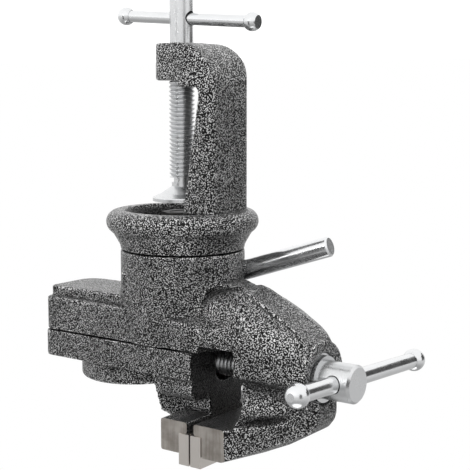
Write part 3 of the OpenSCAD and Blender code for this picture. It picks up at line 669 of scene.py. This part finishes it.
def add_camera():
    """Puts the camera where the photograph was taken from."""
    toward = Vector((math.sin(CAMERA_AZIMUTH), -math.cos(CAMERA_AZIMUTH), 0))
    right = -Vector((math.cos(CAMERA_AZIMUTH), math.sin(CAMERA_AZIMUTH), 0))
    z = Vector((0, 0, 1))
    forward = -toward * math.cos(CAMERA_PITCH) + z * math.sin(CAMERA_PITCH)
    down = toward * math.sin(CAMERA_PITCH) + z * math.cos(CAMERA_PITCH)
    data = bpy.data.cameras.new("photo_camera")
    data.sensor_width = SENSOR_MM
    data.lens = SENSOR_MM * FOCAL_PX / PHOTO_PX
    camera = bpy.data.objects.new("photo_camera", data)
    scene.collection.objects.link(camera)
    side = (AXIS_PX - PHOTO_PX / 2) / FOCAL_PX * CAMERA_DISTANCE
    place = toward * CAMERA_DISTANCE - right * side + Vector((0, 0, CAMERA_HEIGHT))
    turn = Matrix((right, -down, -forward)).transposed().to_4x4()
    camera.matrix_world = Matrix.Translation(place) @ turn
    scene.camera = camera


add_camera()


# Floor, lamps, cards and world: places and sizes in metres

CORNERS = ((-1, -1), (1, -1), (1, 1), (-1, 1))
FLOOR_Z = -150 * MM
FLOOR_HALF = 3.0
FLOOR_GREY = 0.9
FLOOR_ROUGHNESS = 0.9
GLOW_REACH = (0.2, 0.7)
FLOOR_GLOW = 1.2
FLOOR_GLOW_FAR = 0.3
SEEN_REACH = (0.25, 0.6)
FLOOR_SEEN = 0.4
FLOOR_MIRRORED = 0.8
CARD_GREY = 0.10
HORIZON_LEVEL = 0.17
ZENITH_LEVEL = 0.42
GLOSS_SIDE = 0.85
GLOSS_ZENITH = 0.4
ZENITH_FROM = 0.9


def add_sheet(name, place, across, upward):
    """A flat sheet with four corners round a place."""
    mesh = bpy.data.meshes.new(name)
    mesh.from_pydata([tuple(place + x * across + y * upward) for x, y in CORNERS], [], [(0, 1, 2, 3)])
    sheet = bpy.data.objects.new(name, mesh)
    scene.collection.objects.link(sheet)
    return sheet


def dull_grey(name, level, roughness):
    """A dull material, with its tree and its shader."""
    material = bpy.data.materials.new(name)
    tree, shader = node_tree(material)
    shader.inputs["Base Color"].default_value = grey(level)
    shader.inputs["Roughness"].default_value = roughness
    shader.inputs["Specular IOR Level"].default_value = 0.0
    return material, tree, shader


def add_floor():
    """A floor that lights the part from near by, is seen as white far off, and keeps its shadow near by."""
    floor = add_sheet("floor", Vector((0, 0, FLOOR_Z)), across=Vector((FLOOR_HALF, 0, 0)),
                      upward=Vector((0, FLOOR_HALF, 0)))
    material, tree, shader = dull_grey("white_floor", FLOOR_GREY, FLOOR_ROUGHNESS)
    reach = length(tree, position(tree))
    glow = fade(tree, reach, *GLOW_REACH, FLOOR_GLOW, FLOOR_GLOW_FAR)
    looks = fade(tree, reach, *SEEN_REACH, FLOOR_SEEN, 1.0)
    path = add(tree, "ShaderNodeLightPath")
    lit = mix_colours(tree, path.outputs["Is Glossy Ray"], grey_of(tree, glow), grey(FLOOR_MIRRORED))
    shown = mix_colours(tree, path.outputs["Is Camera Ray"], lit, grey_of(tree, looks))
    tree.links.new(shown, shader.inputs["Emission Color"])
    shader.inputs["Emission Strength"].default_value = 1.0
    floor.data.materials.append(material)


def add_lamp(name, place, aim, size, power, mirrored):
    """A round lamp, out of the camera's sight, that metal mirrors only where mirrored is true."""
    data = bpy.data.lights.new(name, "AREA")
    data.shape = "DISK"
    data.size = size
    data.energy = power
    lamp = bpy.data.objects.new(name, data)
    scene.collection.objects.link(lamp)
    lamp.location = place
    lamp.rotation_euler = (Vector(aim) - Vector(place)).to_track_quat("-Z", "Y").to_euler()
    lamp.visible_camera = False
    lamp.visible_glossy = mirrored


def add_card(name, direction, distance, centre, width, height):
    """A dark card that only reflections see, standing off to a side and facing the part."""
    facing = Vector(direction).normalized()
    across = facing.cross(Vector((0, 0, 1))).normalized() * width / 2
    upward = across.cross(facing).normalized() * height / 2
    card = add_sheet(name, Vector(centre) + facing * distance, across, upward)
    card.data.materials.append(dull_grey(name, CARD_GREY, roughness=1.0)[0])
    card.visible_camera = False
    card.visible_diffuse = False
    card.visible_shadow = False


def add_world():
    """A white tent, dimmer overhead than the glowing floor, seen as plain white and mirrored as pale grey."""
    world = bpy.data.worlds.new("light_tent")
    scene.world = world
    world.use_nodes = True
    tree = world.node_tree
    tree.nodes.clear()
    output = tree.nodes.new("ShaderNodeOutputWorld")
    height = axes(tree, add(tree, "ShaderNodeTexCoord").outputs["Generated"])[2]
    rise = fade(tree, height, 0.0, ZENITH_FROM)
    path = add(tree, "ShaderNodeLightPath")
    lit = mix_colours(tree, rise, grey(HORIZON_LEVEL), grey(ZENITH_LEVEL))
    mirrored = mix_colours(tree, rise, grey(GLOSS_SIDE), grey(GLOSS_ZENITH))
    glossy = mix_colours(tree, path.outputs["Is Glossy Ray"], lit, mirrored)
    seen = mix_colours(tree, path.outputs["Is Camera Ray"], glossy, grey(1.0))
    background = add(tree, "ShaderNodeBackground")
    tree.links.new(seen, background.inputs["Color"])
    tree.links.new(background.outputs["Background"], output.inputs["Surface"])


add_floor()
add_lamp("sky_lamp", place=(0.1, -0.1, 0.9), aim=(0, 0, 0.04), size=0.8, power=2, mirrored=True)
add_lamp("low_lamp", place=(0.62, 0.1, -0.14), aim=(0, 0, 0.05), size=0.25, power=3.2, mirrored=False)
add_card("right_card", direction=(-0.81, -0.47, -0.20), distance=0.5, centre=(0, -0.088, 0.07),
         width=0.42, height=0.30)
add_card("left_card", direction=(0.958, 0.27, 0.153), distance=0.6, centre=(0, -0.06, 0.03),
         width=0.18, height=0.5)
add_card("front_card", direction=(0.42, -0.91, 0.02), distance=0.6, centre=(0, 0, -0.05),
         width=0.22, height=0.40)
add_world()
scene.view_settings.view_transform = "Standard"
